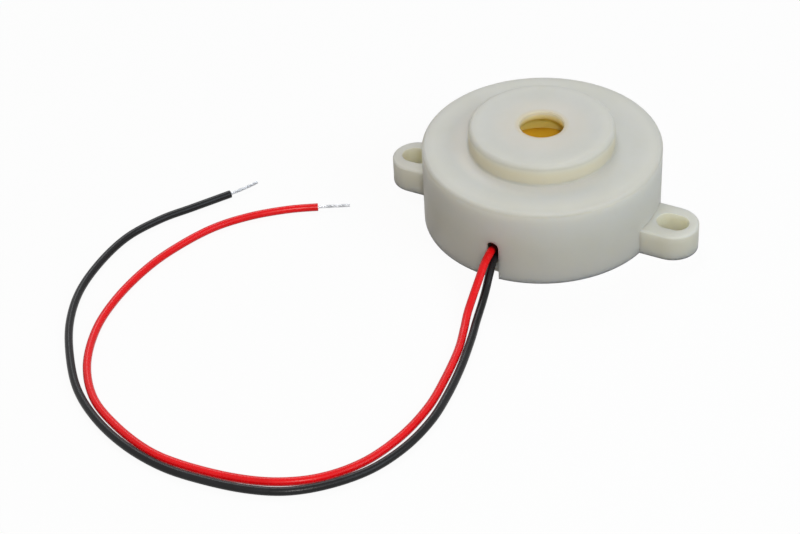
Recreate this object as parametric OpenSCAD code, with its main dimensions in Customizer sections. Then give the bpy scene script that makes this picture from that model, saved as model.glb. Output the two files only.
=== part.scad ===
// Enclosed piezo buzzer: a round moulded case with two slotted ears, a raised
// crown with a sound port, a piezo diaphragm glued inside and two flying leads.
// Millimetres. The origin is the centre of the flat base, +Z is up through the
// sound port, +X runs along the ears and the leads come out on the -Y side.

/* [Body] */
// Outside diameter of the round body
body_d = 30; // [26:0.5:40]
// Height of the shoulder above the base
body_h = 10.5; // [9:0.1:14]
// Thickness of the side wall
wall = 1.4; // [1:0.1:2]
// Thickness of the shoulder and of the crown's roof
roof = 1.1; // [0.8:0.1:1.6]
// Rounding of the shoulder's outer edge
shoulder_r = 0.45; // [0.1:0.05:0.8]

/* [Crown] */
// Diameter of the crown
crown_d = 18.2; // [14:0.2:20]
// Height of the crown above the shoulder
crown_h = 2.75; // [1.8:0.05:4]
// Fillet between the crown's foot and the shoulder
foot_r = 0.25; // [0.1:0.05:0.9]
// Rounding of the crown's top edge
crown_r = 0.55; // [0.1:0.05:0.8]
// Diameter of the sound port
port_d = 5.5; // [2:0.1:9]
// Chamfer round the mouth of the sound port
port_chamfer = 0.15; // [0.05:0.05:0.4]

/* [Resonator] */
// Inside diameter of the ring that hangs from the crown's roof
ring_d = 10.2; // [9.6:0.2:11]
// Thickness of the ring
ring_wall = 1.2; // [0.8:0.1:1.4]
// Gap between the ring and the metal disc
ring_gap = 0.3; // [0.2:0.05:0.5]

/* [Mounting ears] */
// Width of an ear
ear_w = 6.5; // [5:0.1:9]
// Thickness of an ear
ear_t = 3.5; // [2:0.1:5]
// Distance from the body's side to the middle of a slot
ear_reach = 2.65; // [2.4:0.05:5]
// Rounding of an ear's upper edge
ear_r = 0.3; // [0.1:0.05:0.6]
// Width of a screw slot
slot_w = 3.1; // [2:0.1:4]
// Length of a screw slot, end to end
slot_l = 4.1; // [3.5:0.1:4.5]

/* [Wire notch] */
// Height of the notch above the base
notch_h = 5.35; // [4.8:0.05:5.6]
// Spare width of the notch beside one lead
notch_play = 0.6; // [0.4:0.05:1]
// Sideways offset of the notch from the middle of the body
notch_offset = 0.1; // [0:0.05:0.3]

/* [Base plate] */
// Thickness of the base plate
plate_t = 1.4; // [1:0.1:2]
// Width of the step in the wall that the plate seats on
plate_step = 0.35; // [0.2:0.05:0.6]
// Gap round the plate's edge
plate_gap = 0.05; // [0.02:0.01:0.1]
// Chamfer on the plate's lower edge
plate_chamfer = 0.2; // [0.05:0.05:0.4]

/* [Diaphragm] */
// Thickness of the metal disc
disc_t = 0.3; // [0.15:0.05:0.5]
// Gap between the metal disc's edge and the wall
disc_gap = 0.1; // [0.05:0.05:0.3]
// Width of the ledge that the metal disc lies against
ledge_w = 1.4; // [0.8:0.1:2]
// Free height between the metal disc and the shoulder
pocket_h = 0.5; // [0.3:0.05:0.8]
// Width of bare metal round the ceramic
margin_w = 3.5; // [2.8:0.1:4.5]
// Thickness of the ceramic
ceramic_t = 0.25; // [0.15:0.05:0.4]
// Size of the adhesive bead that holds the metal disc, measured along the wall
bead_r = 0.6; // [0.4:0.1:0.7]

/* [Solder joints] */
// Diameter of a solder dome
solder_d = 2.3; // [1.8:0.1:2.6]
// Height of a solder dome
solder_h = 1; // [0.9:0.05:1.3]
// Radius at which the red lead's joint lies on the ceramic
red_joint_r = 7; // [5:0.5:8]
// Bearing of the red lead's joint, from the notch towards +X
red_joint_angle = -40; // [-60:5:-30]
// Bearing of the black lead's joint, from the notch towards +X
black_joint_angle = 55; // [45:5:70]

/* [Leads] */
// Outside diameter of a lead's insulation
lead_d = 1; // [0.8:0.05:1.1]
// Diameter of the stranded conductor
core_d = 0.44; // [0.3:0.02:0.5]
// Bare conductor between a joint and the insulation
inner_strip = 2; // [1.6:0.1:2.4]
// Bare conductor at a lead's free end
outer_strip = 4.1; // [2:0.1:8]

/* [Hidden] */

$fn = 96;
over = 1;

body_r = body_d / 2;
bore_r = body_r - wall;
top_z = body_h + crown_h;
crown_side_r = crown_d / 2;
crown_bore_r = crown_side_r - wall;
ledge_r = bore_r - ledge_w;
seat_h = body_h - roof - pocket_h;
slot_x = body_r + ear_reach;
notch_w = lead_d + notch_play;
step_r = bore_r + plate_step;
disc_r = bore_r - disc_gap;
disc_z = seat_h - disc_t;
ceramic_r = disc_r - margin_w;
ceramic_z = disc_z - ceramic_t;

// Gap between the insulation and the face that its conductor is soldered to
joint_gap = 0.06;
// Depth of the soldered conductor's middle below that face
joint_drop = lead_d / 2 + joint_gap;
// The black lead's joint is in the middle of the bare metal
black_joint_r = (ceramic_r + bore_r - bead_r) / 2;

// Strand pattern of the conductor: six strands twisted round one
strands = 6;
strand_groove = 0.14;
strand_steps = 24;
lay_turns = 0.6;
lay_slices = 9;

// Sides of a lead's tube and steps between two points of its route
lead_sides = 8;
lead_steps = 2;

// A point on a joint's bearing, at the level of the soldered conductor
function joint_at(r, angle, face_z) = [r * sin(angle), -r * cos(angle), face_z - joint_drop];
function level(heading) = [cos(heading), sin(heading), 0];

red_joint = joint_at(red_joint_r, red_joint_angle, ceramic_z);
black_joint = joint_at(black_joint_r, black_joint_angle, disc_z);
// Directions in which the conductors leave their joints
red_heading = -47;
black_heading = black_joint_angle - 180;

// Heights of the leads where they pass through the wall
red_exit_z = 3.87;
black_exit_z = 2.88;
// Points inside the case, where the third value is the share of the drop that is left
function inside(points, joint, exit_z) =
    [for (p = points) [p.x, p.y, exit_z + p.z * (joint.z - exit_z)]];

// Routes of the leads: from the joint out through the notch and along the floor
red_route = concat(
    [red_joint + inner_strip * level(red_heading)],
    inside([[-2.2, -8, 0.85], [-1.1, -9.8, 0.6], [-0.4, -11.8, 0.25], [-0.12, -13.4, 0.06]],
           red_joint, red_exit_z),
    [[-0.13, -15, red_exit_z], [0, -17, 3.55], [0.2, -19, 2.7], [0.4, -21, 1.8],
     [0.8, -23.5, 1], [1.5, -26, 0.55],
     [2.5, -29.6, 0.5], [3.3, -34.7, 0.5], [3.7, -39.8, 0.5], [3.1, -45.3, 0.5], [1.3, -50.6, 0.5],
     [-1.8, -54.7, 0.5], [-5.9, -57.4, 0.5], [-10.9, -58.9, 0.5], [-17, -59.5, 0.5],
     [-21.8, -59.1, 0.5], [-27.3, -57.2, 0.5], [-32.3, -54.3, 0.5], [-36.3, -49.7, 0.5],
     [-38.9, -43.9, 0.5], [-39.9, -38.1, 0.5], [-39.8, -32.1, 0.5], [-38.8, -26.9, 0.5],
     [-36.6, -21.2, 0.5], [-33.5, -17, 0.5], [-29.7, -13.7, 0.5], [-26.3, -11.6, 0.5]]);
black_route = concat(
    [black_joint + inner_strip * level(black_heading)],
    inside([[7, -9.3, 0.85], [5.3, -9.9, 0.62], [3.2, -10.3, 0.38], [1.4, -11.4, 0.18], [0.38, -13.2, 0.03]],
           black_joint, black_exit_z),
    [[0.32, -15, black_exit_z], [0.7, -17, 2.4], [1.1, -19, 1.4], [1.5, -21, 0.8], [2.1, -23.7, 0.5],
     [3, -27.1, 0.5], [4.1, -32.2, 0.5], [4.8, -37.2, 0.5], [5, -41.8, 0.5], [4.3, -46.7, 0.5],
     [2.5, -51.4, 0.5], [-0.5, -55.3, 0.5], [-4.2, -58.2, 0.5], [-8.5, -59.8, 0.5],
     [-13.7, -60.6, 0.5], [-18.8, -60.7, 0.5], [-24.3, -59.6, 0.5], [-29.8, -57.3, 0.5],
     [-34.8, -53.9, 0.5], [-39.1, -49.2, 0.5], [-42.6, -44.1, 0.5], [-44.9, -38.6, 0.5],
     [-45.8, -32.6, 0.5], [-45.5, -26.9, 0.5], [-43.6, -22, 0.5], [-41.2, -18.3, 0.5],
     [-38.2, -13.7, 0.5]]);

// Smooth curve through the points of a route
function curve(a, b, c, d, t) =
    b + (c - a) * t / 2
    + (2 * a - 5 * b + 4 * c - d) * t * t / 2
    + (3 * b - a - 3 * c + d) * t * t * t / 2;
// The floor carries the lead, so its middle is never lower than half its thickness
function carried(p) = [p.x, p.y, max(p.z, lead_d / 2)];
function smooth(route) =
    let (last = len(route) - 1)
    [for (i = [0 : last - 1], k = [0 : lead_steps - 1])
        carried(curve(route[max(i - 1, 0)], route[i], route[i + 1],
                      route[min(i + 2, last)], k / lead_steps)),
     carried(route[last])];
red_path = smooth(red_route);
black_path = smooth(black_route);

function unit(v) = v / norm(v);
// Direction of a path at one of its points
function direction(path, i) =
    unit(path[min(i + 1, len(path) - 1)] - path[max(i - 1, 0)]);
function ring(at, ahead, r, sides) =
    let (side = unit(cross(ahead, [0, 0, 1])), up = cross(side, ahead))
    [for (k = [0 : sides - 1])
        at + r * (cos(360 * (k + 0.5) / sides) * side + sin(360 * (k + 0.5) / sides) * up)];

// Closed tube round a path, with its first end square to a given direction
module tube(path, start, r, sides) {
    rings = len(path);
    points = [for (i = [0 : rings - 1])
        each ring(path[i], i == 0 ? start : direction(path, i), r, sides)];
    skin = [for (i = [0 : rings - 2], k = [0 : sides - 1])
        let (a = i * sides + k, b = i * sides + (k + 1) % sides)
        each [[a, b, b + sides], [a, b + sides, a + sides]]];
    first_cap = [for (k = [sides - 1 : -1 : 0]) k];
    last_cap = [for (k = [0 : sides - 1]) (rings - 1) * sides + k];
    polyhedron(points, concat(skin, [first_cap, last_cap]));
}

// The waste outside a rounded corner at [0, 0], or the metal inside a fillet there
module corner(r) {
    difference() {
        square(r);
        translate([r, r]) circle(r);
    }
}

// Half section of the case as a solid: body, crown and their rounded edges
module outer_section() {
    difference() {
        union() {
            square([body_r, body_h]);
            square([crown_side_r, top_z]);
            translate([crown_side_r, body_h]) corner(foot_r);
        }
        translate([body_r, body_h]) rotate(180) corner(shoulder_r);
        translate([crown_side_r, top_z]) rotate(180) corner(crown_r);
    }
}

// Half section of the hollow: plate step, bore, pocket, crown and sound port.
// A ring hangs from the crown's roof and ends a little above the metal disc.
module hollow_section() {
    translate([0, -over]) square([step_r, plate_t + over]);
    square([bore_r, seat_h]);
    difference() {
        union() {
            square([ledge_r, body_h - roof]);
            square([crown_bore_r, top_z - roof]);
        }
        translate([ring_d / 2, seat_h + ring_gap]) square([ring_wall, top_z - seat_h]);
    }
    square([port_d / 2, top_z + over]);
    polygon([[0, top_z - port_chamfer], [port_d / 2, top_z - port_chamfer],
             [port_d / 2 + port_chamfer, top_z], [0, top_z]]);
}

// Half of an ear's cross section, from its middle outwards
module ear_half_section() {
    difference() {
        square([ear_w / 2, ear_t]);
        translate([ear_w / 2, ear_t]) rotate(180) corner(ear_r);
    }
}

// One ear on the +X side: a straight bar from inside the wall and a round end
module ear() {
    translate([bore_r, 0, 0]) rotate([90, 0, 90]) linear_extrude(slot_x - bore_r) {
        ear_half_section();
        mirror([1, 0]) ear_half_section();
    }
    translate([slot_x, 0, 0]) rotate_extrude() ear_half_section();
}

// The screw slot through the ear on the +X side
module slot() {
    half = (slot_l - slot_w) / 2;
    for (end = [-half, half])
        translate([slot_x + end, 0, -over]) cylinder(h = ear_t + 2 * over, d = slot_w);
    translate([slot_x - half, -slot_w / 2, -over]) cube([2 * half, slot_w, ear_t + 2 * over]);
}

// Round-topped notch through the wall at the base, for both leads
module wire_notch() {
    depth = wall + over;
    crest = notch_h - notch_w / 2;
    translate([notch_offset, -bore_r + over / 2, 0]) rotate([90, 0, 0]) {
        translate([-notch_w / 2, -over, 0]) cube([notch_w, crest + over, depth]);
        translate([0, crest, 0]) cylinder(h = depth, d = notch_w);
    }
}

// A solder dome under a face, with the hole that the conductor fills
module solder_dome(joint, heading) {
    cap_r = (pow(solder_d / 2, 2) + solder_h * solder_h) / (2 * solder_h);
    difference() {
        translate([joint.x, joint.y, joint.z + joint_drop]) rotate([180, 0, 0]) intersection() {
            translate([0, 0, solder_h - cap_r]) sphere(cap_r);
            cylinder(h = solder_h, d = 2 * solder_d);
        }
        conductor_core(joint, heading);
    }
}

// Conductor from inside the solder to the start of the insulation
module conductor_core(joint, heading) {
    translate(joint) rotate([0, 90, heading]) cylinder(h = inner_strip, d = core_d);
}

// Bare twisted strands past the end of a lead's path
module stripped_end(path) {
    last = len(path) - 1;
    ahead = direction(path, last);
    translate(path[last]) rotate([0, 90, atan2(ahead.y, ahead.x)])
        linear_extrude(outer_strip, twist = 360 * lay_turns, slices = lay_slices, $fn = strand_steps)
            polygon([for (k = [0 : strand_steps - 1])
                let (a = 360 * k / strand_steps)
                core_d / 2 * (1 - strand_groove + strand_groove * cos(strands * a)) * [cos(a), sin(a)]]);
}

// Moulded case: cup, crown, ears and notch in one piece
module housing() {
    color([0.91, 0.9, 0.84]) difference() {
        union() {
            rotate_extrude() outer_section();
            for (turn = [0, 180]) rotate(turn) ear();
        }
        rotate_extrude() hollow_section();
        for (turn = [0, 180]) rotate(turn) slot();
        wire_notch();
    }
}

// Disc that closes the case, flush with the base
module base_plate() {
    r = step_r - plate_gap;
    color([0.88, 0.86, 0.79]) rotate_extrude()
        polygon([[0, 0], [r - plate_chamfer, 0], [r, plate_chamfer], [r, plate_t], [0, plate_t]]);
}

// Brass disc, against the ledge
module diaphragm_disc() {
    color([0.8, 0.6, 0.22]) translate([0, 0, disc_z]) cylinder(h = disc_t, r = disc_r);
}

// Piezo ceramic under the brass disc
module piezo_ceramic() {
    color([0.75, 0.74, 0.7]) translate([0, 0, ceramic_z]) cylinder(h = ceramic_t, r = ceramic_r);
}

// Adhesive in the corner between the brass disc and the wall
module adhesive_bead() {
    color([0.93, 0.93, 0.9]) rotate_extrude() translate([bore_r, disc_z]) rotate(180) corner(bead_r);
}

module red_solder() {
    color([0.72, 0.73, 0.75]) solder_dome(red_joint, red_heading);
}

module black_solder() {
    color([0.72, 0.73, 0.75]) solder_dome(black_joint, black_heading);
}

module red_lead() {
    color([0.85, 0.08, 0.1]) tube(red_path, level(red_heading), lead_d / 2, lead_sides);
}

module black_lead() {
    color([0.08, 0.08, 0.09]) tube(black_path, level(black_heading), lead_d / 2, lead_sides);
}

module red_conductor() {
    color([0.78, 0.78, 0.79]) {
        conductor_core(red_joint, red_heading);
        stripped_end(red_path);
    }
}

module black_conductor() {
    color([0.78, 0.78, 0.79]) {
        conductor_core(black_joint, black_heading);
        stripped_end(black_path);
    }
}

housing();
base_plate();
diaphragm_disc();
piezo_ceramic();
adhesive_bead();
red_solder();
black_solder();
red_lead();
black_lead();
red_conductor();
black_conductor();
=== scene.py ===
from math import cos, pi, radians, sin

import bpy
import numpy as np
from mathutils import Matrix, Vector


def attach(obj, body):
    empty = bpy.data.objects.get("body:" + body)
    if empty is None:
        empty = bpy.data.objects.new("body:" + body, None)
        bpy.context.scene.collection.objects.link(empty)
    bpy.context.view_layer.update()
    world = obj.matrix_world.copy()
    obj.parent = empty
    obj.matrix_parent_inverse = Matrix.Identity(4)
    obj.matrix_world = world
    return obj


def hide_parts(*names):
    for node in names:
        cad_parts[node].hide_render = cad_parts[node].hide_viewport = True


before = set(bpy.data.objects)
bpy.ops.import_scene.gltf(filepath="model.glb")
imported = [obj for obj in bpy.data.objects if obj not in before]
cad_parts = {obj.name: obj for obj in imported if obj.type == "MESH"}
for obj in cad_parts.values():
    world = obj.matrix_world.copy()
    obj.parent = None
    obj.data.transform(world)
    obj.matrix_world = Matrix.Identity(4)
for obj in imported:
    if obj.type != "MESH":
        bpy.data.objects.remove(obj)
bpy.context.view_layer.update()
mm = 0.001
print("frame loaded:", len(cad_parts), "nodes")


# camera: stands on a sphere round the aim point, then rolls about its own axis
shot = {
    "azimuth": 29.326,
    "elevation": 38.361,
    "roll": -3.37,
    "aim": (-11.261 * mm, -17.807 * mm, 0.0),
    "distance": 250.44 * mm,
    "focalPixels": 2021.6,  # for a picture 800 pixels wide
    "pictureWidth": 800,
    "sensor": 36.0,
    "clip": (0.005, 20.0),
}


# direction from the object out to a camera or a lamp
def outward(s):
    az, el = radians(s["azimuth"]), radians(s["elevation"])
    return Vector((sin(az) * cos(el), -cos(az) * cos(el), sin(el)))


def makeCamera(s):
    az, roll = radians(s["azimuth"]), radians(s["roll"])
    back = outward(s)
    level = Vector((cos(az), sin(az), 0.0))
    upright = back.cross(level)
    right = cos(roll) * level + sin(roll) * upright
    up = cos(roll) * upright - sin(roll) * level
    data = bpy.data.cameras.new("productCamera")
    data.sensor_width = s["sensor"]
    data.lens = s["focalPixels"] * data.sensor_width / s["pictureWidth"]
    data.clip_start, data.clip_end = s["clip"]
    camera = bpy.data.objects.new("productCamera", data)
    turn = Matrix((right, up, back)).transposed().to_4x4()
    camera.matrix_world = Matrix.Translation(Vector(s["aim"]) + s["distance"] * back) @ turn
    bpy.context.collection.objects.link(camera)
    bpy.context.scene.camera = camera


makeCamera(shot)
print("camera placed")


# shader helper: a Sig is one socket of a finish, and arithmetic on it adds Math nodes
class Sig:
    def __init__(self, tree, socket=None):
        self.tree, self.socket = tree, socket

    # adds any node: its settings first, then the values or links of its sockets
    def add(self, kind, settings=None, values=None, out=0):
        made = self.tree.nodes.new(kind)
        for name, value in (settings or {}).items():
            setattr(made, name, value)
        for name, value in (values or {}).items():
            if isinstance(value, Sig):
                self.tree.links.new(value.socket, made.inputs[name])
            else:
                made.inputs[name].default_value = value
        return Sig(self.tree, made.outputs[out] if len(made.outputs) else None)

    def calc(self, operation, a, b=0.0):
        return self.add("ShaderNodeMath", {"operation": operation}, {0: a, 1: b})

    def __add__(self, other): return self.calc("ADD", self, other)
    def __radd__(self, other): return self.calc("ADD", other, self)
    def __sub__(self, other): return self.calc("SUBTRACT", self, other)
    def __rsub__(self, other): return self.calc("SUBTRACT", other, self)
    def __mul__(self, other): return self.calc("MULTIPLY", self, other)
    def __rmul__(self, other): return self.calc("MULTIPLY", other, self)
    def __pow__(self, other): return self.calc("POWER", self, other)
    def __abs__(self): return self.calc("ABSOLUTE", self)

    # 0 below low, 1 above high, smooth between
    def rise(self, low, high):
        return self.add("ShaderNodeMapRange", {"interpolation_type": "SMOOTHSTEP"},
                        {"Value": self, "From Min": low, "From Max": high})

    # the other way round: 1 below low, 0 above high
    def fall(self, low, high):
        return 1 - self.rise(low, high)

    # colour a where this is 0, colour b where it is 1
    def blend(self, a, b):
        return self.add("ShaderNodeMix", {"data_type": "RGBA"}, {0: self, 6: a, 7: b}, out=2)

    # 3-D noise about 0.5, with its grain size in metres; stretch multiplies it along each axis
    def noise(self, grain, detail=2.0, rough=0.5, stretch=(1, 1, 1)):
        scaled = self.add("ShaderNodeMapping", None,
                          {"Vector": self, "Scale": tuple(1 / (grain * k) for k in stretch)})
        return self.add("ShaderNodeTexNoise", None,
                        {"Vector": scaled, "Scale": 1.0, "Detail": detail, "Roughness": rough})

    # one coordinate of a place
    def axis(self, k):
        return self.add("ShaderNodeSeparateXYZ", None, {0: self}, out=k)

    # distance of a place from the upright axis
    def fromAxis(self):
        flat = self.add("ShaderNodeVectorMath", {"operation": "MULTIPLY"}, {0: self, 1: (1, 1, 0)})
        return flat.add("ShaderNodeVectorMath", {"operation": "LENGTH"}, {0: flat}, out=1)

    def bump(self, depth):
        return self.add("ShaderNodeBump", None, {"Height": self, "Distance": depth})


def rgb(r, g, b):
    # colours are written as they look, in 0..255, and kept as linear light
    c = np.array([r, g, b]) / 255
    lin = np.where(c <= 0.04045, c / 12.92, ((c + 0.055) / 1.055) ** 2.4)
    return (*(float(v) for v in lin), 1.0)


def newFinish(name):
    mat = bpy.data.materials.new(name)
    mat.use_nodes = True
    mat.node_tree.nodes.clear()
    return mat, Sig(mat.node_tree)


def shade(mat, tree, values):
    surface = tree.add("ShaderNodeBsdfPrincipled", None, values)
    tree.add("ShaderNodeOutputMaterial", None, {"Surface": surface})
    return mat


# moulded plastic: satin skin, faint cloudy colour, very fine grain
casePlastic = {
    "colour": rgb(220, 219, 211),
    "cloud": rgb(216, 215, 205),
    "cloudSize": 6 * mm,
    "cloudSpan": (0.3, 0.75),
    "grainSize": 0.11 * mm,
    "grainDepth": 0.0012 * mm,
    "roughness": (0.42, 0.54),
    "refraction": 1.49,
    "glow": 1.0,  # share of the light that goes in and comes out nearby
    "glowReach": 3.5 * mm,
    "glowColour": (1.0, 0.93, 0.78),
    # painted light and shade by place: each pair is where a painted tone starts or ends, as a height or a
    # distance from the axis
    # painted shade low on the wall and painted light high on it: darker towards the foot, paler under the
    # top edge
    "wallLowShade": rgb(212, 210, 203),
    "wallHighLight": rgb(230, 230, 224),
    "wallStart": (14.5 * mm, 14.9 * mm),
    "wallEnd": (15.05 * mm, 15.4 * mm),
    "lowFade": (1.0 * mm, 6.5 * mm),
    "highStart": (4.5 * mm, 9.0 * mm),
    "highEnd": (9.7 * mm, 10.2 * mm),
    "rimShade": rgb(205, 204, 196),  # painted shade on both top edges
    "shoulderRim": (13.5 * mm, 15.2 * mm),
    "shoulderTop": (10.05 * mm, 10.25 * mm),
    "crownRim": (7.8 * mm, 9.2 * mm),
    "crownRimEnd": (9.3 * mm, 9.5 * mm),
    "crownTop": (12.3 * mm, 12.8 * mm),
    "portEdgeLight": rgb(214, 205, 178),  # painted warm light on the port's edge
    "portRim": (2.8 * mm, 3.6 * mm),
    "portTop": (12.9 * mm, 13.1 * mm),
    "footLight": rgb(246, 238, 224),  # painted light on the shoulder round the crown's foot, where shade gathers in the corner
    "footStart": (9.1 * mm, 9.45 * mm),
    "footReach": (9.7 * mm, 11.9 * mm),
    "footHeight": (10.55 * mm, 10.8 * mm),
    "footSide": (0.35, 0.8),  # direction in x and y along which the painted light fades, so that it is strongest at the front and left
    "footFade": (-5 * mm, 6 * mm),
    "crownWarmLight": rgb(221, 214, 192),  # painted warm light on the crown's side
    "crownIn": (8.6 * mm, 9.1 * mm),
    "crownOut": (9.2 * mm, 9.6 * mm),
    "crownFoot": (10.3 * mm, 10.9 * mm),
    "crownFade": (11.6 * mm, 13.0 * mm),
    # painted warm light on the walls of the ear slots
    "slotWarmLight": rgb(234, 230, 208),
    "slotPlace": (17.65 * mm, 0.5 * mm),  # middle, and half of the straight part
    "slotEdge": (1.55 * mm, 1.65 * mm),
    "throatLight": rgb(255, 229, 134),  # painted golden light inside the port, as reflected from the brass
    "throatEdge": (5.5 * mm, 5.7 * mm),
    "throatEnd": (12.0 * mm, 13.3 * mm),
    "notchShade": rgb(70, 66, 58),  # painted shade on the notch's walls, from just inside its mouth
    "notchMiddle": 0.1 * mm,
    "notchEdge": (0.8 * mm, 0.9 * mm),
    "notchRoof": (5.4 * mm, 5.6 * mm),
    "notchMouth": (-14.7 * mm, -14.4 * mm),
    "notchEnd": (-9 * mm, -8 * mm),
}
platePlastic = {
    "colour": rgb(219, 216, 205),
    "cloud": rgb(210, 206, 190),
    "cloudSize": 4.5 * mm,
    "cloudSpan": (0.3, 0.75),
    "grainSize": 0.16 * mm,
    "grainDepth": 0.0025 * mm,
    "roughness": (0.48, 0.62),
    "refraction": 1.49,
    "glow": 1.0,
    "glowReach": 3.5 * mm,
    "glowColour": (1.0, 0.93, 0.78),
}


# each painted light or shade has a mask that is a product of soft steps in height, in distance from the
# axis, across or along the notch, or in distance from the slot's middle line
def casePaintedLightAndShade(place, colour, s):
    x, y, z = (place.axis(k) for k in range(3))
    radius = place.fromAxis()
    # the wall's painted shade low down and painted light high up
    wall = radius.rise(*s["wallStart"]) * radius.fall(*s["wallEnd"])
    low = wall * z.fall(*s["lowFade"])
    high = wall * z.rise(*s["highStart"]) * z.fall(*s["highEnd"])
    # painted shade on both top edges
    rim = radius.rise(*s["shoulderRim"]) * z.rise(*s["shoulderTop"])
    rim = rim + radius.rise(*s["crownRim"]) * radius.fall(*s["crownRimEnd"]) * z.rise(*s["crownTop"])
    # painted warm light on the port's edge
    lip = radius.fall(*s["portRim"]) * z.rise(*s["portTop"])
    # painted light on the shoulder round the crown's foot, strongest at the front and left
    across, down = s["footSide"]
    pale = radius.rise(*s["footStart"]) * radius.fall(*s["footReach"])
    pale = pale * z.rise(*s["shoulderTop"]) * z.fall(*s["footHeight"])
    pale = pale * (x * across + y * down).fall(*s["footFade"])
    # painted warm light on the crown's side
    crown = radius.rise(*s["crownIn"]) * radius.fall(*s["crownOut"])
    crown = crown * z.rise(*s["crownFoot"]) * z.fall(*s["crownFade"])
    # painted warm light on the walls of the ear slots
    middle, half = s["slotPlace"]
    past = x.calc("MAXIMUM", abs(abs(x) - middle) - half, 0.0)
    slot = ((past * past + y * y) ** 0.5).fall(*s["slotEdge"])
    # painted golden light inside the port
    throatLight = z.fall(*s["throatEnd"]) * radius.fall(*s["throatEdge"])
    # painted shade on the notch's walls
    notch = abs(x - s["notchMiddle"]).fall(*s["notchEdge"]) * z.fall(*s["notchRoof"])
    notch = notch * y.rise(*s["notchMouth"]) * y.fall(*s["notchEnd"])
    for mask, tone in (
            (low, "wallLowShade"), (high, "wallHighLight"), (rim, "rimShade"), (lip, "portEdgeLight"), (pale, "footLight"),
            (crown, "crownWarmLight"), (slot, "slotWarmLight"), (throatLight, "throatLight"), (notch, "notchShade")):
        colour = mask.blend(colour, s[tone])
    return colour


def makePlastic(name, s, paintedLightAndShade=None):
    mat, tree = newFinish(name)
    place = tree.add("ShaderNodeTexCoord", out=3)
    cloud = place.noise(s["cloudSize"], detail=3.0)
    grain = place.noise(s["grainSize"])
    smooth, rough = s["roughness"]
    colour = cloud.rise(*s["cloudSpan"]).blend(s["colour"], s["cloud"])
    # painted light and shade by place, on the case only
    if paintedLightAndShade:
        colour = paintedLightAndShade(place, colour, s)
    return shade(mat, tree, {
        "Base Color": colour,
        "Roughness": smooth + (rough - smooth) * grain,
        "Normal": grain.bump(s["grainDepth"]),
        "IOR": s["refraction"],
        "Subsurface Weight": s["glow"],
        "Subsurface Radius": s["glowColour"],
        "Subsurface Scale": s["glowReach"],
    })


# rolled sheet brass: long fine lines one way, slight tarnish in soft patches
brass = {
    "colour": rgb(254, 218, 74),
    "tarnish": rgb(246, 204, 56),
    "lineWidth": 0.05 * mm,
    "lineLength": 60,
    "lineDepth": 0.0006 * mm,
    "patchSize": 5 * mm,
    "patchSpan": (0.35, 0.75),
    "patchRough": 0.06,
    "roughness": (0.42, 0.56),
    "metal": 0.5,
}


def makeBrass(s):
    mat, tree = newFinish("brassSheet")
    place = tree.add("ShaderNodeTexCoord", out=3)
    lines = place.noise(s["lineWidth"], stretch=(s["lineLength"], 1, 1))
    patch = place.noise(s["patchSize"], detail=3.0).rise(*s["patchSpan"])
    smooth, rough = s["roughness"]
    return shade(mat, tree, {
        "Base Color": patch.blend(s["colour"], s["tarnish"]),
        "Metallic": s["metal"],
        "Roughness": smooth + (rough - smooth) * lines + s["patchRough"] * patch,
        "Normal": lines.bump(s["lineDepth"]),
    })


# fired ceramic with a printed silver electrode inside its rim
ceramic = {
    "clay": rgb(186, 178, 156),
    "silver": rgb(214, 212, 206),
    "electrodeRadius": 9.2 * mm,
    "edgeWander": 0.12 * mm,
    "wanderSize": 1.2 * mm,
    "edgeSoft": 0.04 * mm,
    "silverMetal": 0.85,
    "silverStep": 0.6,  # its height, as a share of the grain's depth
    "grainSize": 0.08 * mm,
    "grainDepth": 0.002 * mm,
    "roughness": (0.62, 0.42),  # clay, silver
    "grainRough": 0.14,
}


def makeCeramic(s):
    mat, tree = newFinish("silveredCeramic")
    place = tree.add("ShaderNodeTexCoord", out=3)
    wander = s["edgeWander"] * (place.noise(s["wanderSize"]) - 0.5)
    edge, soft = s["electrodeRadius"], s["edgeSoft"]
    silver = (place.fromAxis() + wander).fall(edge - soft, edge + soft)
    grain = place.noise(s["grainSize"], detail=3.0)
    clayRough, silverRough = s["roughness"]
    return shade(mat, tree, {
        "Base Color": silver.blend(s["clay"], s["silver"]),
        "Metallic": s["silverMetal"] * silver,
        "Roughness": clayRough + (silverRough - clayRough) * silver + s["grainRough"] * grain,
        "Normal": (grain + s["silverStep"] * silver).bump(s["grainDepth"]),
    })


# cured adhesive: milky, glossy, lumpy where it was drawn round
adhesive = {
    "colour": rgb(226, 225, 218),
    "deep": rgb(212, 209, 196),
    "lumpSize": 1.1 * mm,
    "lumpDepth": 0.05 * mm,
    "roughness": (0.24, 0.38),
    "glow": 0.3,
    "glowReach": 0.6 * mm,
    "glowColour": (1.0, 0.9, 0.75),
}


def makeAdhesive(s):
    mat, tree = newFinish("curedAdhesive")
    place = tree.add("ShaderNodeTexCoord", out=3)
    lump = place.noise(s["lumpSize"])
    smooth, rough = s["roughness"]
    return shade(mat, tree, {
        "Base Color": lump.blend(s["colour"], s["deep"]),
        "Roughness": smooth + (rough - smooth) * lump,
        "Normal": lump.bump(s["lumpDepth"]),
        "Subsurface Weight": s["glow"],
        "Subsurface Radius": s["glowColour"],
        "Subsurface Scale": s["glowReach"],
    })


# solder and tinned wire: bright metal with a frosty bloom
solder = {"colour": rgb(219, 221, 224), "bloom": rgb(186, 188, 190), "bloomSize": 0.25 * mm,
          "bloomSpan": (0.35, 0.8), "depth": 0.012 * mm, "roughness": (0.18, 0.42)}
tinnedWire = {"colour": rgb(214, 215, 218), "bloom": rgb(146, 147, 150), "bloomSize": 1.3 * mm,
              "bloomSpan": (0.35, 0.8), "depth": 0.001 * mm, "roughness": (0.2, 0.38)}


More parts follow.
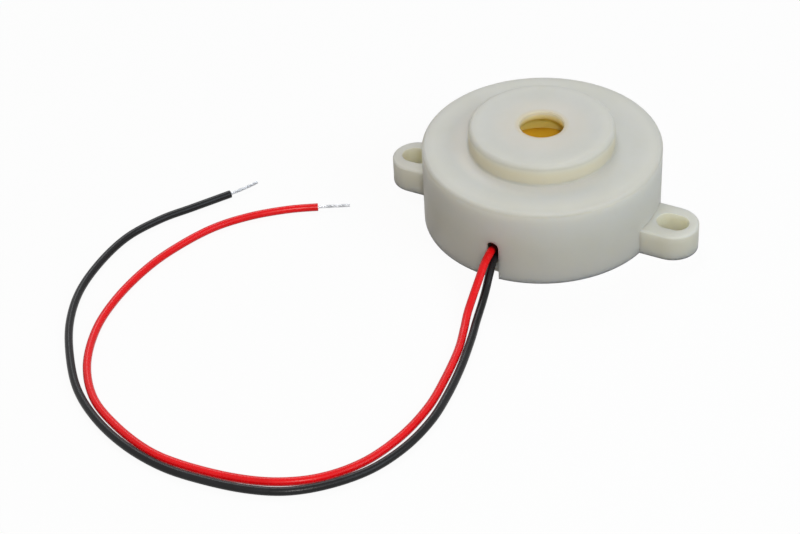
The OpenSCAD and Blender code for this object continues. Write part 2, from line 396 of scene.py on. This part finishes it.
def makeTin(name, s):
    mat, tree = newFinish(name)
    place = tree.add("ShaderNodeTexCoord", out=3)
    bloom = place.noise(s["bloomSize"], detail=3.0)
    smooth, rough = s["roughness"]
    return shade(mat, tree, {
        "Base Color": bloom.rise(*s["bloomSpan"]).blend(s["colour"], s["bloom"]),
        "Metallic": 1.0,
        "Roughness": smooth + (rough - smooth) * bloom,
        "Normal": bloom.bump(s["depth"]),
    })


# extruded insulation: glossy skin with die lines along the lead and a slight orange peel
redSkin = {
    "colour": rgb(248, 18, 26),
    "worn": rgb(236, 12, 18),
    "indoorsShade": rgb(58, 8, 8),  # painted shade on the skin inside the case
    "patchSize": 2.5 * mm,
    "roughness": (0.2, 0.34),
    "sheen": 0.24,
    "lineDepth": 0.004 * mm,
    "peelSize": 0.4 * mm,
    "peelDepth": 0.004 * mm,
}
blackSkin = {
    "colour": rgb(16, 16, 18),
    "worn": rgb(28, 28, 31),
    # painted shade on the skin inside the case
    "indoorsShade": rgb(14, 14, 15),
    "patchSize": 2.5 * mm,
    "roughness": (0.2, 0.42),
    "sheen": 0.25,
    "lineDepth": 0.005 * mm,
    "peelSize": 0.3 * mm,
    "peelDepth": 0.015 * mm,
}
# what both skins share: lines round the tube and their run along it, and where the case covers the leads
# with painted shade
anySkin = {
    "dieLines": 4,
    "dieRun": 0.05,
    "patchSpan": (0.4, 0.8),
    "refraction": 1.5,
    "mouth": (-15.0 * mm, -14.5 * mm),
    "caseEdge": (15.0 * mm, 15.3 * mm),
}


def makeSkin(name, s):
    mat, tree = newFinish(name)
    place = tree.add("ShaderNodeTexCoord", out=3)
    around = tree.add("ShaderNodeUVMap", {"uv_map": "skin"})  # u once round, v in millimetres along
    turn, along = around.axis(0) * (2 * pi), around.axis(1)
    lines = anySkin["dieLines"]
    tube = tree.add("ShaderNodeCombineXYZ", None, {
        "X": lines * turn.calc("COSINE", turn),
        "Y": lines * turn.calc("SINE", turn),
        "Z": anySkin["dieRun"] * along,
    })
    dieLine = tree.add("ShaderNodeTexNoise", None, {"Vector": tube, "Scale": 1.0, "Detail": 1.0})
    patch = place.noise(s["patchSize"]).rise(*anySkin["patchSpan"])
    peel = place.noise(s["peelSize"])
    smooth, rough = s["roughness"]
    colour = patch.blend(s["colour"], s["worn"])
    # painted shade on the skin where the case covers it
    indoorsShade = place.axis(1).rise(*anySkin["mouth"]) * place.fromAxis().fall(*anySkin["caseEdge"])
    return shade(mat, tree, {
        "Base Color": indoorsShade.blend(colour, s["indoorsShade"]),
        "Roughness": smooth + (rough - smooth) * peel,
        "Normal": (dieLine * (s["lineDepth"] / s["peelDepth"]) + peel).bump(s["peelDepth"]),
        "IOR": anySkin["refraction"],
        "Specular IOR Level": s["sheen"],
    })


finishes = {
    "housing": makePlastic("casePlastic", casePlastic, casePaintedLightAndShade),
    "base_plate": makePlastic("platePlastic", platePlastic),
    "diaphragm_disc": makeBrass(brass),
    "piezo_ceramic": makeCeramic(ceramic),
    "adhesive_bead": makeAdhesive(adhesive),
    "red_solder": makeTin("brightSolder", solder),
}
finishes["black_solder"] = finishes["red_solder"]
for name, finish in finishes.items():
    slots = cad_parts[name].material_slots
    for k in range(len(slots)):
        slots[k].material = finish
redInsulation = makeSkin("redInsulation", redSkin)
blackInsulation = makeSkin("blackInsulation", blackSkin)
tinned = makeTin("tinnedWire", tinnedWire)
print("finishes made for", len(finishes), "nodes and both leads")


# leads: each route is the one that its solid follows, in millimetres
lead = {
    "thickness": 1.0,
    "bareInside": 2.0,  # conductor between the joint and the insulation
    "bareOutside": 4.1,  # conductor past the insulation's free end
    "stepsPerPoint": 10,
    "sides": 28,
    "cutRound": 0.05,  # rounding of the cut end
    "cutSteps": 5,
    "coreHole": 0.22,
    "creaseAngle": 50.0,
}
redRun = {
    "joint": (7.0, -40.0, 7.79),  # radius, bearing from the notch, height
    "heading": -47.0,
    "points": [
        (-2.2, -8, 7.202), (-1.1, -9.8, 6.222), (-0.4, -11.8, 4.85), (-0.12, -13.4, 4.1052),
        (-0.13, -15, 3.87), (0, -17, 3.55), (0.2, -19, 2.7), (0.4, -21, 1.8),
        (0.8, -23.5, 1), (1.5, -26, 0.55),
        (2.5, -29.6, 0.5), (3.3, -34.7, 0.5), (3.7, -39.8, 0.5), (3.1, -45.3, 0.5), (1.3, -50.6, 0.5),
        (-1.8, -54.7, 0.5), (-5.9, -57.4, 0.5), (-10.9, -58.9, 0.5), (-17, -59.5, 0.5),
        (-21.8, -59.1, 0.5), (-27.3, -57.2, 0.5), (-32.3, -54.3, 0.5), (-36.3, -49.7, 0.5),
        (-38.9, -43.9, 0.5), (-39.9, -38.1, 0.5), (-39.8, -32.1, 0.5), (-38.8, -26.9, 0.5),
        (-36.6, -21.2, 0.5), (-33.5, -17, 0.5), (-29.7, -13.7, 0.5), (-26.3, -11.6, 0.5)],
    "exit": (-0.13, -15, 3.87),
    "twist": 1.3,
    "tipBend": 0.14,
}
blackRun = {
    "joint": (11.5, 55.0, 8.04),
    "heading": -125.0,
    "points": [
        (7, -9.3, 7.266), (5.3, -9.9, 6.0792), (3.2, -10.3, 4.8408), (1.4, -11.4, 3.8088),
        (0.38, -13.2, 3.0348), (0.32, -15, 2.88), (0.7, -17, 2.4), (1.1, -19, 1.4),
        (1.5, -21, 0.8), (2.1, -23.7, 0.5),
        (3, -27.1, 0.5), (4.1, -32.2, 0.5), (4.8, -37.2, 0.5), (5, -41.8, 0.5), (4.3, -46.7, 0.5),
        (2.5, -51.4, 0.5), (-0.5, -55.3, 0.5), (-4.2, -58.2, 0.5), (-8.5, -59.8, 0.5),
        (-13.7, -60.6, 0.5), (-18.8, -60.7, 0.5), (-24.3, -59.6, 0.5), (-29.8, -57.3, 0.5),
        (-34.8, -53.9, 0.5), (-39.1, -49.2, 0.5), (-42.6, -44.1, 0.5), (-44.9, -38.6, 0.5),
        (-45.8, -32.6, 0.5), (-45.5, -26.9, 0.5), (-43.6, -22, 0.5), (-41.2, -18.3, 0.5),
        (-38.2, -13.7, 0.5)],
    "exit": (0.32, -15, 2.88),
    "twist": -1.1,
    "tipBend": -0.4,
}
# stranded conductor: six strands laid round one, opening a little past the insulation
strand = {
    "thickness": 0.13,
    "count": 6,
    "sides": 10,
    "rings": 64,
    "opening": 0.02,
    "wander": 0.02,
    "tucked": (0.3, 0.4),  # length inside the insulation, at the joint and at the free end
    "jointTwist": 1.2,
    "held": 0.1,  # share of the way that the insulation still holds
    "uneven": 0.4,  # how far the opening differs between strands, and its turn from one to the next
    "unevenTurn": 2.4,
    "middleTurn": 3.0,  # the middle strand's own slow wave
}


def jointOf(run):
    r, bearing, height = run["joint"]
    a = radians(bearing)
    return np.array([r * sin(a), -r * cos(a), height])


def levelWay(heading):
    return np.array([cos(radians(heading)), sin(radians(heading)), 0.0])


# each stretch between two points is the cubic whose ends run parallel to the chord of their neighbours
def smoothRoute(points, steps):
    p = np.asarray(points, float)
    q = np.vstack([p[:1], p, p[-1:]])
    a, b, c, d = (q[k:len(q) - 3 + k, None, :] for k in range(4))
    t = (np.arange(steps) / steps)[None, :, None]
    route = b + (c - a) * t / 2 + (2 * a - 5 * b + 4 * c - d) * t**2 / 2 + (3 * b - a - 3 * c + d) * t**3 / 2
    route = np.vstack([route.reshape(-1, 3), p[-1:]])
    route[:, 2] = np.maximum(route[:, 2], lead["thickness"] / 2)  # carried by the floor
    return route


def waysAlong(path):
    ahead = np.gradient(path, axis=0)
    return ahead / np.linalg.norm(ahead, axis=1, keepdims=True)


# a circle of the given radius carried along the path, square to it: the ring's own axes are
# the level sideways direction and the one square to both
def sweep(path, radius, sides, ahead=None):
    ahead = waysAlong(path) if ahead is None else ahead
    side = np.cross(ahead, (0.0, 0.0, 1.0))
    side /= np.linalg.norm(side, axis=1, keepdims=True)
    up = np.cross(side, ahead)
    turn = np.linspace(0, 2 * pi, sides, endpoint=False)
    out = np.cos(turn)[None, :, None] * side[:, None] + np.sin(turn)[None, :, None] * up[:, None]
    return path[:, None] + np.asarray(radius)[:, None, None] * out


# quads between neighbouring rings, and one face across each end
def ringFaces(rings, sides, first=0):
    i, k = np.meshgrid(np.arange(rings - 1), np.arange(sides), indexing="ij")
    a, b = i * sides + k, i * sides + (k + 1) % sides
    quads = np.stack([a, a + sides, b + sides, b], -1).reshape(-1, 4) + first
    start = (np.arange(sides) + first).tolist()
    end = (np.arange(sides)[::-1] + (rings - 1) * sides + first).tolist()
    return quads.tolist() + [start, end]


def makePiece(name, points, faces, finish, uv=None):
    mesh = bpy.data.meshes.new(name)
    mesh.from_pydata(np.asarray(points) * mm, [], faces)
    if uv is not None:
        layer = mesh.uv_layers.new(name="skin")
        layer.data.foreach_set("uv", uv.astype(np.float32).ravel())
    mesh.shade_smooth()
    mesh.set_sharp_from_angle(angle=radians(lead["creaseAngle"]))
    mesh.materials.append(finish)
    piece = bpy.data.objects.new(name, mesh)
    bpy.context.collection.objects.link(piece)
    return piece


# insulation: a circle carried along the route, drawn in to the conductor at both cut ends
def makeLead(name, run, finish):
    start = jointOf(run) + lead["bareInside"] * levelWay(run["heading"])
    path = smoothRoute(np.vstack([start, run["points"]]), lead["stepsPerPoint"])
    ahead = waysAlong(path)
    ahead[0] = levelWay(run["heading"])
    r, cut, hole = lead["thickness"] / 2, lead["cutRound"], lead["coreHole"]
    # the skin turns in over a quarter round at each cut end and stops at the conductor
    bend = np.linspace(pi / 2, 0, lead["cutSteps"])
    inset, rim = np.r_[0, cut * (1 - np.sin(bend))], np.r_[hole, r - cut + cut * np.cos(bend)]
    head = path[0] + inset[:, None] * ahead[0]
    tail = path[-1] - inset[::-1, None] * ahead[-1]
    rows = np.vstack([head, path[1:-1], tail])
    ways = np.vstack([np.repeat(ahead[:1], len(head), 0), ahead[1:-1], np.repeat(ahead[-1:], len(tail), 0)])
    radius = np.r_[rim, np.full(len(path) - 2, r), rim[::-1]]
    sides = lead["sides"]
    skin = sweep(rows, radius, sides, ways)
    along = np.r_[0, np.cumsum(np.linalg.norm(np.diff(rows, axis=0), axis=1))]
    i, k = np.meshgrid(np.arange(len(rows) - 1), np.arange(sides), indexing="ij")
    u = np.stack([k, k, k + 1, k + 1], -1) / sides
    v = along[np.stack([i, i + 1, i + 1, i], -1)]
    caps = np.repeat([[0.5, 0.0]], 2 * sides, 0)
    uv = np.vstack([np.stack([u, v], -1).reshape(-1, 2), caps])
    piece = makePiece(name, skin.reshape(-1, 3), ringFaces(len(rows), sides), finish, uv)
    return piece, path


# strands wind round the conductor's line, which bends aside with the square of the way along; each one's
# distance from it swells by the opening and comes back
def makeStrands(name, run, path):
    joint, way = jointOf(run), levelWay(run["heading"])
    tip = waysAlong(path)[-1]
    points, faces = [], []
    n, thick = strand["rings"], strand["thickness"]
    along = np.linspace(0, 1, n)
    free = np.clip((1 + strand["held"]) * along - strand["held"], 0, 1)
    uneven = strand["uneven"]
    near, far = strand["tucked"]
    bundles = [
        (joint, way, lead["bareInside"] + near, 0.0, 0.0, strand["jointTwist"], 0.0),
        (path[-1] - far * tip, tip, lead["bareOutside"] + far, strand["opening"], strand["wander"],
         run["twist"], run["tipBend"]),
    ]
    for origin, ahead, length, opening, wander, twist, bend in bundles:
        side = np.cross(ahead, (0, 0, 1.0))
        side /= np.linalg.norm(side)
        up = np.cross(side, ahead)
        for j in range(strand["count"] + 1):
            lay = 2 * pi * (j / strand["count"] + twist * along)
            share = 1 - uneven + uneven * cos(strand["unevenTurn"] * j)
            out = thick + opening * np.sin(pi * free) ** 2 * share + wander * free**3
            if j == strand["count"]:
                out = wander * free**2 * np.sin(strand["middleTurn"] * free)
            line = (origin + (along * length)[:, None] * ahead
                    + (bend * along**2 + out * np.cos(lay))[:, None] * side
                    + (out * np.sin(lay))[:, None] * up)
            line[:, 2] = np.maximum(line[:, 2], thick / 2)
            ringed = sweep(line, np.full(n, thick / 2), strand["sides"])
            faces += ringFaces(n, strand["sides"], sum(len(p) for p in points))
            points.append(ringed.reshape(-1, 3))
    return makePiece(name, np.vstack(points), faces, tinned)


for colour, run, finish in (("red", redRun, redInsulation), ("black", blackRun, blackInsulation)):
    skin, path = makeLead(colour + "LeadSkin", run, finish)
    wires = makeStrands(colour + "Strands", run, path)
    for piece, node, slot in ((skin, "_lead", "_insulation"), (wires, "_conductor", None)):
        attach(piece, "root")
        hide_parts(colour + node)
        colour + slot if slot else "tinned_copper"
    (path * mm).tolist()


# studio: pale floor, even sky, a small lamp beside the camera, a broad one on the right and one behind
studio = {
    "floorSize": 1.6,
    "floorDrop": 0.02 * mm,  # just under the base, so that the two don't fight
    "floorColour": (1.0, 1.0, 1.0, 1.0),
    "floorReturn": (0.27, 0.25, 0.19, 1.0),  # how much light it sends back to the object
    "floorWhite": 0.92,  # share of plain white that the camera sees in the floor
    "skyColour": (1.0, 0.98, 0.93, 1.0),
    "skyStrength": 0.32,
}
lamps = [
    {"name": "frontLamp", "azimuth": 30, "elevation": 39, "distance": 0.6, "size": 0.08, "power": 1.2,
     "colour": (1.0, 0.985, 0.94)},
    {"name": "rightLamp", "azimuth": 82, "elevation": 37, "distance": 0.6, "size": 0.4, "power": 1.03,
     "colour": (0.76, 0.89, 1.0)},
    {"name": "backLamp", "azimuth": -140, "elevation": 50, "distance": 0.6, "size": 0.25, "power": 0.68,
     "colour": (0.95, 0.97, 1.0)},
]


# 1 for rays from the camera, and for the same seen in metal or through glass
def seenRays(tree):
    camera = tree.add("ShaderNodeLightPath")
    seen = camera
    for k in ("Is Glossy Ray", "Is Transmission Ray"):
        seen = seen.calc("MAXIMUM", seen, Sig(tree.tree, camera.socket.node.outputs[k]))
    return camera, seen


def makeFloor(s):
    half = s["floorSize"] / 2
    x, y = np.meshgrid((-half, half), (-half, half))
    corners = np.stack([x.ravel(), y.ravel(), np.full(4, -s["floorDrop"])], -1)
    mesh = bpy.data.meshes.new("paleFloor")
    mesh.from_pydata(corners, [], [(0, 1, 3, 2)])
    mat, tree = newFinish("paleFloor")
    camera, seen = seenRays(tree)
    pale = camera.blend(s["floorReturn"], s["floorColour"])
    matt = tree.add("ShaderNodeBsdfDiffuse", None, {"Color": pale})
    white = tree.add("ShaderNodeEmission", None, {"Color": (1, 1, 1, 1), "Strength": 1.0})
    both = tree.add("ShaderNodeMixShader", None, {0: seen * s["floorWhite"], 1: matt, 2: white})
    tree.add("ShaderNodeOutputMaterial", None, {"Surface": both})
    mesh.materials.append(mat)
    floor = bpy.data.objects.new("paleFloor", mesh)
    bpy.context.collection.objects.link(floor)


def makeSky(s):
    world = bpy.data.worlds.new("evenSky")
    world.use_nodes = True
    world.node_tree.nodes.clear()
    tree = Sig(world.node_tree)
    seen = seenRays(tree)[1]
    sky = tree.add("ShaderNodeBackground", None, {"Color": s["skyColour"], "Strength": s["skyStrength"]})
    white = tree.add("ShaderNodeBackground", None, {"Color": (1, 1, 1, 1), "Strength": 1.0})
    both = tree.add("ShaderNodeMixShader", None, {0: seen, 1: sky, 2: white})
    tree.add("ShaderNodeOutputWorld", None, {"Surface": both})
    bpy.context.scene.world = world


def makeLamp(s):
    back = outward(s)
    data = bpy.data.lights.new(s["name"], "AREA")
    data.shape, data.size = "DISK", s["size"]
    data.energy, data.color = s["power"], s["colour"]
    lamp = bpy.data.objects.new(s["name"], data)
    lamp.location = back * s["distance"]
    lamp.rotation_euler = back.to_track_quat("Z", "Y").to_euler()
    bpy.context.collection.objects.link(lamp)


makeFloor(studio)
makeSky(studio)
for s in lamps:
    makeLamp(s)
bpy.context.scene.view_settings.view_transform = "Standard"
print("studio set:", len(lamps), "lamps")
